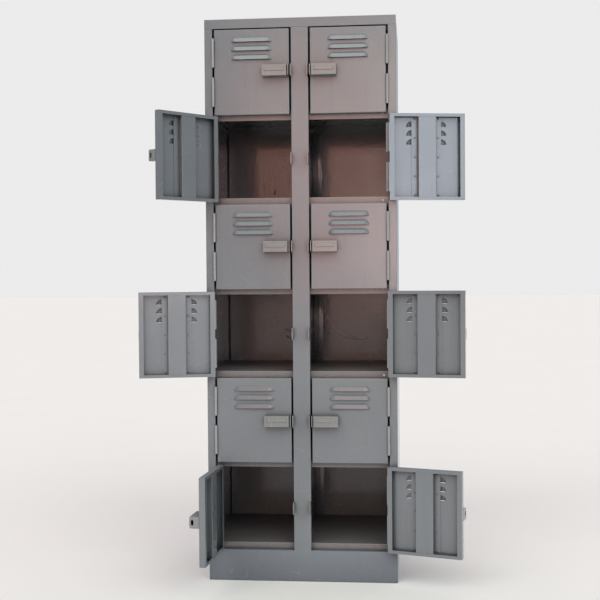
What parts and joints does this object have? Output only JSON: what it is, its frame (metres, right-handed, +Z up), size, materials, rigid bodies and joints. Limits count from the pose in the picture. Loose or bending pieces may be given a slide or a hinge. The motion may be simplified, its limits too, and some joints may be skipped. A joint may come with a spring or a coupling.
{
  "type": "multi-compartment locker",
  "caption": "Free-standing sheet-steel locker bank: two columns of small stacked compartments, each with a louvred hinged door and a padlock hasp.",
  "frame": {"origin": "on the floor, under the middle of the cabinet body's width and depth", "axes": "+Z up, the doors face -Y, +X to the right of a person facing the doors"},
  "size_m": [1.0417, 0.7091, 1.8],
  "materials": {
    "body_enamel": "semi-gloss grey stove enamel with light orange peel",
    "interior_enamel": "semi-gloss grey enamel, scuffed",
    "plinth_enamel": "semi-gloss grey enamel, kicked and scuffed",
    "door_enamel": "semi-gloss grey stove enamel with light orange peel",
    "hasp_enamel": "grey enamel, worn along the edges",
    "hinge_enamel": "grey enamel over welded steel hinges",
    "pin_steel": "drawn steel pin ends, partly painted",
    "weld_steel": "bare rivet heads and scratches rubbed through to bright steel"
  },
  "bodies": {
    "cabinet": {"side_panels": "body_enamel", "side_stiles": "body_enamel", "back_panel": "interior_enamel", "top_panel": "body_enamel", "centre_stile": "body_enamel", "centre_partition": "interior_enamel", "shelves": "interior_enamel", "bottom_pans": "interior_enamel", "plinth": "plinth_enamel", "frame_hinge_leaves": "hinge_enamel", "hinge_pins": "pin_steel", "hasp_staples": "hasp_enamel"},
    "door_left_1": {"door_left_1_pan": "door_enamel", "door_left_1_stiffener": "door_enamel", "door_left_1_hasp_box": "hasp_enamel", "door_left_1_hinge_leaves": "hinge_enamel"},
    "door_left_2": {"door_left_2_pan": "door_enamel", "door_left_2_stiffener": "door_enamel", "door_left_2_hasp_box": "hasp_enamel", "door_left_2_hinge_leaves": "hinge_enamel"},
    "door_left_3": {"door_left_3_pan": "door_enamel", "door_left_3_stiffener": "door_enamel", "door_left_3_hasp_box": "hasp_enamel", "door_left_3_hinge_leaves": "hinge_enamel"},
    "door_left_4": {"door_left_4_pan": "door_enamel", "door_left_4_stiffener": "door_enamel", "door_left_4_hasp_box": "hasp_enamel", "door_left_4_hinge_leaves": "hinge_enamel"},
    "door_left_5": {"door_left_5_pan": "door_enamel", "door_left_5_stiffener": "door_enamel", "door_left_5_hasp_box": "hasp_enamel", "door_left_5_hinge_leaves": "hinge_enamel"},
    "door_left_6": {"door_left_6_pan": "door_enamel", "door_left_6_stiffener": "door_enamel", "door_left_6_hasp_box": "hasp_enamel", "door_left_6_hinge_leaves": "hinge_enamel"},
    "door_right_1": {"door_right_1_pan": "door_enamel", "door_right_1_stiffener": "door_enamel", "door_right_1_hasp_box": "hasp_enamel", "door_right_1_hinge_leaves": "hinge_enamel"},
    "door_right_2": {"door_right_2_pan": "door_enamel", "door_right_2_stiffener": "door_enamel", "door_right_2_hasp_box": "hasp_enamel", "door_right_2_hinge_leaves": "hinge_enamel"},
    "door_right_3": {"door_right_3_pan": "door_enamel", "door_right_3_stiffener": "door_enamel", "door_right_3_hasp_box": "hasp_enamel", "door_right_3_hinge_leaves": "hinge_enamel"},
    "door_right_4": {"door_right_4_pan": "door_enamel", "door_right_4_stiffener": "door_enamel", "door_right_4_hasp_box": "hasp_enamel", "door_right_4_hinge_leaves": "hinge_enamel"},
    "door_right_5": {"door_right_5_pan": "door_enamel", "door_right_5_stiffener": "door_enamel", "door_right_5_hasp_box": "hasp_enamel", "door_right_5_hinge_leaves": "hinge_enamel"},
    "door_right_6": {"door_right_6_pan": "door_enamel", "door_right_6_stiffener": "door_enamel", "door_right_6_hasp_box": "hasp_enamel", "door_right_6_hinge_leaves": "hinge_enamel"}
  },
  "joints": [
    {"name": "door_left_1_hinge", "type": "hinge", "parent": "cabinet", "child": "door_left_1", "pos_m": [-0.277, -0.234, 1.63083], "axis": [0, 0, -1], "range_deg": [0, 194]},
    {"name": "door_left_2_hinge", "type": "hinge", "parent": "cabinet", "child": "door_left_2", "pos_m": [-0.277, -0.234, 1.3525], "axis": [0, 0, -1], "range_deg": [-128, 66]},
    {"name": "door_left_3_hinge", "type": "hinge", "parent": "cabinet", "child": "door_left_3", "pos_m": [-0.277, -0.234, 1.07417], "axis": [0, 0, -1], "range_deg": [0, 194]},
    {"name": "door_left_4_hinge", "type": "hinge", "parent": "cabinet", "child": "door_left_4", "pos_m": [-0.277, -0.234, 0.79583], "axis": [0, 0, -1], "range_deg": [-165, 29]},
    {"name": "door_left_5_hinge", "type": "hinge", "parent": "cabinet", "child": "door_left_5", "pos_m": [-0.277, -0.234, 0.5175], "axis": [0, 0, -1], "range_deg": [0, 194]},
    {"name": "door_left_6_hinge", "type": "hinge", "parent": "cabinet", "child": "door_left_6", "pos_m": [-0.277, -0.234, 0.23917], "axis": [0, 0, -1], "range_deg": [-94, 100]},
    {"name": "door_right_1_hinge", "type": "hinge", "parent": "cabinet", "child": "door_right_1", "pos_m": [0.277, -0.234, 1.63083], "axis": [0, 0, 1], "range_deg": [0, 194]},
    {"name": "door_right_2_hinge", "type": "hinge", "parent": "cabinet", "child": "door_right_2", "pos_m": [0.277, -0.234, 1.3525], "axis": [0, 0, 1], "range_deg": [-192, 2]},
    {"name": "door_right_3_hinge", "type": "hinge", "parent": "cabinet", "child": "door_right_3", "pos_m": [0.277, -0.234, 1.07417], "axis": [0, 0, 1], "range_deg": [0, 194]},
    {"name": "door_right_4_hinge", "type": "hinge", "parent": "cabinet", "child": "door_right_4", "pos_m": [0.277, -0.234, 0.79583], "axis": [0, 0, 1], "range_deg": [-173, 21]},
    {"name": "door_right_5_hinge", "type": "hinge", "parent": "cabinet", "child": "door_right_5", "pos_m": [0.277, -0.234, 0.5175], "axis": [0, 0, 1], "range_deg": [0, 194]},
    {"name": "door_right_6_hinge", "type": "hinge", "parent": "cabinet", "child": "door_right_6", "pos_m": [0.277, -0.234, 0.23917], "axis": [0, 0, 1], "range_deg": [-162, 32]}
  ]
}
